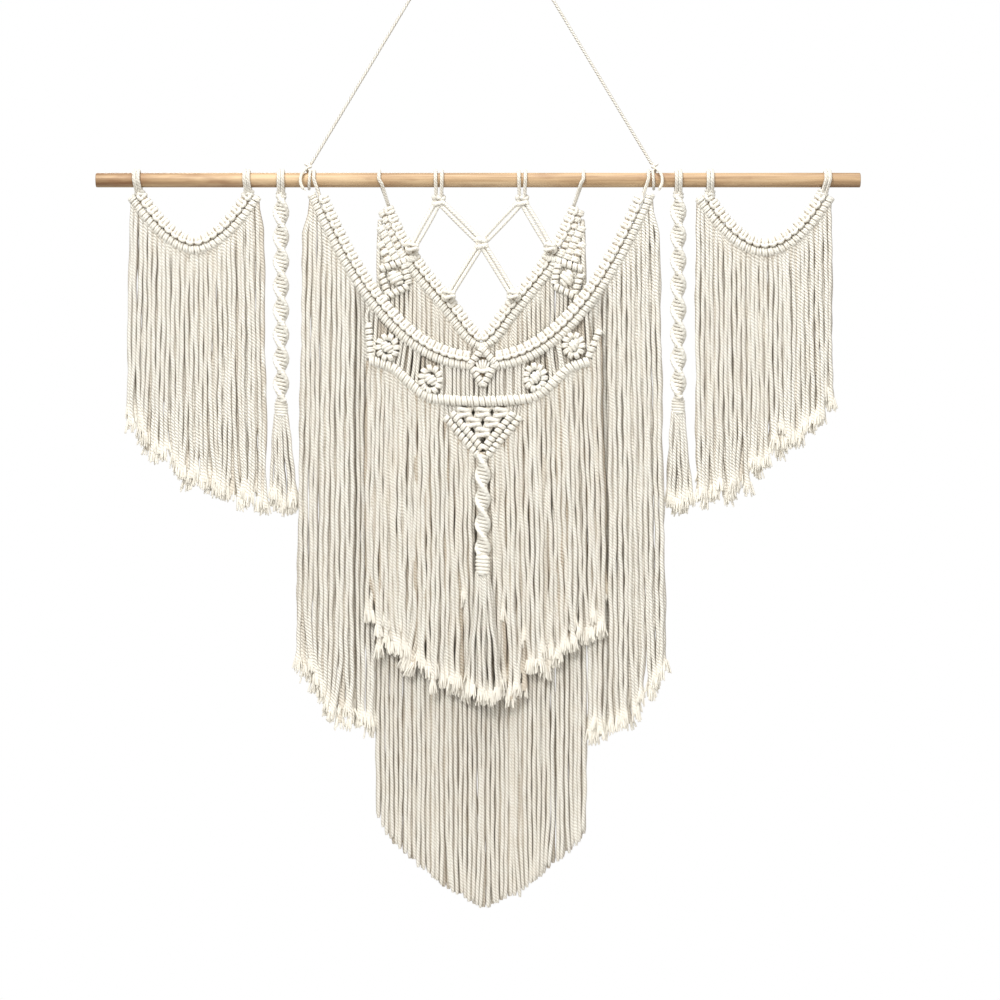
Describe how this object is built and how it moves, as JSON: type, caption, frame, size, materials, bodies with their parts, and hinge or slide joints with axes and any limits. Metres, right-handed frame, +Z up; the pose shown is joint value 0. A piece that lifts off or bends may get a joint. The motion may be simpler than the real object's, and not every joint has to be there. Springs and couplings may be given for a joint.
{
  "type": "macrame wall hanging with wooden dowel",
  "caption": "Knotted cotton macrame wall hanging on a round wooden dowel, with a front swag, V panel, knotted rosettes, spiral tassels and layered fringe, hung by a cord.",
  "frame": {"origin": "the point that the hanging cord hangs from, on the cord's centre line at its top", "axes": "+X along the dowel to the right of a viewer who faces the hanging, -Y out of its front towards that viewer, +Z up"},
  "size_m": [1, 0.0386, 1.3428],
  "materials": {
    "wood": "satin",
    "cotton": "matte",
    "hanger": "matte"
  },
  "bodies": {
    "root": {"dowel": "wood", "hanging_cord": "hanger", "hanging_tie_left": "hanger", "hanging_tie_right": "hanger", "wing_left_mount": "cotton", "wing_left_fringe": "cotton", "wing_right_mount": "cotton", "wing_right_fringe": "cotton", "spiral_left": "cotton", "tassel_left": "cotton", "spiral_right": "cotton", "tassel_right": "cotton", "swag_left_mount": "cotton", "swag_left_fringe": "cotton", "swag_right_mount": "cotton", "swag_right_fringe": "cotton", "panel_left_mount": "cotton", "panel_left_fan": "cotton", "panel_left_rosette": "cotton", "panel_left_side_fringe": "cotton", "panel_right_mount": "cotton", "panel_right_fan": "cotton", "panel_right_rosette": "cotton", "panel_right_side_fringe": "cotton", "panel_fringe": "cotton", "lattice": "cotton", "apron_left_edge": "cotton", "apron_right_edge": "cotton", "apron_fringe": "cotton", "apron_rosette_outer_left": "cotton", "apron_rosette_inner_left": "cotton", "apron_rosette_inner_right": "cotton", "apron_rosette_outer_right": "cotton", "apron_diamond": "cotton", "apron_triangle": "cotton", "apron_triangle_fringe": "cotton", "spiral_centre": "cotton", "tassel_centre": "cotton"}
  },
  "joints": []
}
